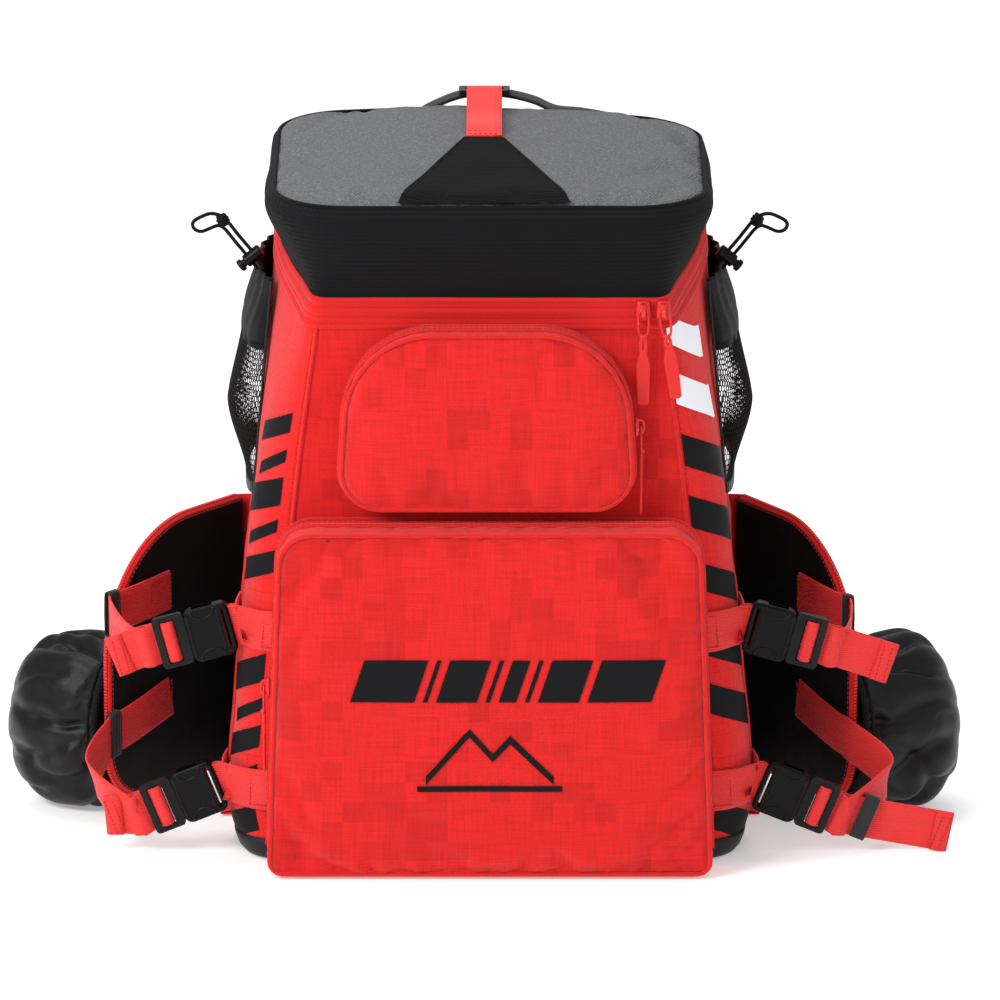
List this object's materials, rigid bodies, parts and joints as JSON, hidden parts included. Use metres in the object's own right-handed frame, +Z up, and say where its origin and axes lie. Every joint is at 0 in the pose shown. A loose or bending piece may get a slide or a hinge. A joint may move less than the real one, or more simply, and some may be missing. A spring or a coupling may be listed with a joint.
{
  "type": "ski boot bag",
  "caption": "Red and black ski boot backpack with a wedge lid, two front pockets, mesh side pockets, two strapped side doors with gathered pouches and padded shoulder straps",
  "frame": {"origin": "centre of the base, on the surface it stands on", "axes": "+X to the right seen from the front, +Y towards the back panel and the shoulder straps, +Z up"},
  "size_m": [0.6786, 0.322, 0.5018],
  "materials": {
    "red_ripstop": "600D red polyester, fine cross-hatch weave with a faint darker block pattern",
    "black_polyester": "near-black ribbed polyester",
    "grey_polyester": "charcoal heathered polyester twill",
    "base_tarpaulin": "black coated tarpaulin",
    "stiffener_sheet": "translucent white polyethylene sheet",
    "zip_tape_red": "red zip tape with a nylon coil",
    "black_mesh": "black open hexagonal knit mesh",
    "shock_cord": "black braided elastic cord",
    "black_acetal": "moulded black acetal, fine satin grain",
    "red_webbing": "red ribbed polyester webbing",
    "padded_mesh": "black spacer mesh over foam",
    "door_lining": "red outer cloth with a black lining",
    "crinkle_nylon": "thin black nylon, gathered, with a soft shine",
    "slider_metal": "red enamelled die-cast zinc",
    "pull_red": "folded red webbing tab on a wire loop"
  },
  "bodies": {
    "root": {"front_panel": "red_ripstop", "left_side_panel": "red_ripstop", "right_side_panel": "red_ripstop", "upper_pocket_gusset": "red_ripstop", "upper_pocket_face": "red_ripstop", "lower_pocket_gusset": "red_ripstop", "lower_pocket_face": "red_ripstop", "back_panel": "black_polyester", "main_floor": "black_polyester", "boot_bay_divider": "black_polyester", "left_pocket_collar": "black_polyester", "right_pocket_collar": "black_polyester", "shoulder_webbing": "black_polyester", "haul_handle": "black_polyester", "base_panel": "base_tarpaulin", "frame_sheet": "stiffener_sheet", "main_zip": "zip_tape_red", "upper_pocket_zip": "zip_tape_red", "lower_pocket_zip": "zip_tape_red", "door_zips": "zip_tape_red", "left_mesh_pocket": "black_mesh", "right_mesh_pocket": "black_mesh", "left_drawcord": "shock_cord", "right_drawcord": "shock_cord", "left_cord_knot": "shock_cord", "right_cord_knot": "shock_cord", "cord_locks": "black_acetal", "buckle_sockets": "black_acetal", "buckle_clips": "black_acetal", "ladder_locks": "black_acetal", "anchor_webs": "red_webbing", "base_tabs": "red_webbing", "back_pads": "padded_mesh", "left_shoulder_strap": "padded_mesh", "right_shoulder_strap": "padded_mesh"},
    "lid": {"lid_band": "black_polyester", "lid_top_panel": "grey_polyester", "lid_patch": "black_polyester", "lid_strap": "red_webbing", "lid_ring": "black_acetal", "lid_rear_strap": "black_polyester"},
    "left_door": {"left_door": "door_lining", "left_door_zip": "zip_tape_red", "left_boot_pouch": "crinkle_nylon", "left_door_straps": "red_webbing"},
    "right_door": {"right_door": "door_lining", "right_door_zip": "zip_tape_red", "right_boot_pouch": "crinkle_nylon", "right_door_straps": "red_webbing"},
    "main_slider_one": {"main_slider_one": "slider_metal"},
    "main_pull_one": {"main_pull_one": "pull_red"},
    "main_slider_two": {"main_slider_two": "slider_metal"},
    "main_pull_two": {"main_pull_two": "pull_red"},
    "upper_slider": {"upper_slider": "slider_metal"},
    "upper_pull": {"upper_pull": "pull_red"},
    "lower_slider": {"lower_slider": "slider_metal"},
    "lower_pull": {"lower_pull": "pull_red"},
    "left_cord_plunger": {"left_cord_plunger": "black_acetal"},
    "right_cord_plunger": {"right_cord_plunger": "black_acetal"}
  },
  "joints": [
    {"name": "lid_hinge", "type": "hinge", "parent": "root", "child": "lid", "pos_m": [0, 0.121, 0.46682], "axis": [-1, 0, 0], "range_deg": [0, 110]},
    {"name": "left_door_hinge", "type": "hinge", "parent": "root", "child": "left_door", "pos_m": [-0.17, 0.102, 0.1], "axis": [0, 0, 1], "range_deg": [0, 35], "deforming": ["left_door_straps"]},
    {"name": "right_door_hinge", "type": "hinge", "parent": "root", "child": "right_door", "pos_m": [0.17, 0.102, 0.1], "axis": [0, 0, -1], "range_deg": [0, 29], "deforming": ["right_door_straps"]},
    {"name": "main_zip_slider_one", "type": "slide", "parent": "root", "child": "main_slider_one", "axis": [1, 0, 0], "range_m": [-0.205, 0], "deforming": ["main_pull_one"]},
    {"name": "main_pull_one_swing", "type": "hinge", "parent": "main_slider_one", "child": "main_pull_one", "pos_m": [0.105, -0.1215, 0.394], "axis": [-1, 0, 0], "range_deg": [0, 100]},
    {"name": "main_zip_slider_two", "type": "slide", "parent": "root", "child": "main_slider_two", "axis": [1, 0, 0], "range_m": [0, 0.008]},
    {"name": "main_pull_two_swing", "type": "hinge", "parent": "main_slider_two", "child": "main_pull_two", "pos_m": [0.119, -0.1215, 0.394], "axis": [-1, 0, 0], "range_deg": [0, 100]},
    {"name": "upper_zip_slider", "type": "slide", "parent": "root", "child": "upper_slider", "axis": [0.0718, 0, -0.9974], "range_m": [0, 0.03], "deforming": ["upper_pull"]},
    {"name": "upper_pull_swing", "type": "hinge", "parent": "upper_slider", "child": "upper_pull", "pos_m": [0.1038, -0.1265, 0.316], "axis": [0, -1, 0], "range_deg": [0, 90]},
    {"name": "lower_zip_slider", "type": "slide", "parent": "root", "child": "lower_slider", "axis": [0.0367, 0, 0.9993], "range_m": [-0.05, 0.07]},
    {"name": "lower_pull_swing", "type": "hinge", "parent": "lower_slider", "child": "lower_pull", "pos_m": [-0.156, -0.1325, 0.132], "axis": [0, 1, 0], "range_deg": [0, 90]},
    {"name": "left_cord_lock_button", "type": "slide", "parent": "root", "child": "left_cord_plunger", "axis": [0.77, 0, 0.638], "range_m": [0, 0.0022], "stiffness_N_per_m": 400},
    {"name": "right_cord_lock_button", "type": "slide", "parent": "root", "child": "right_cord_plunger", "axis": [-0.77, 0, 0.638], "range_m": [0, 0.0022], "stiffness_N_per_m": 400}
  ]
}
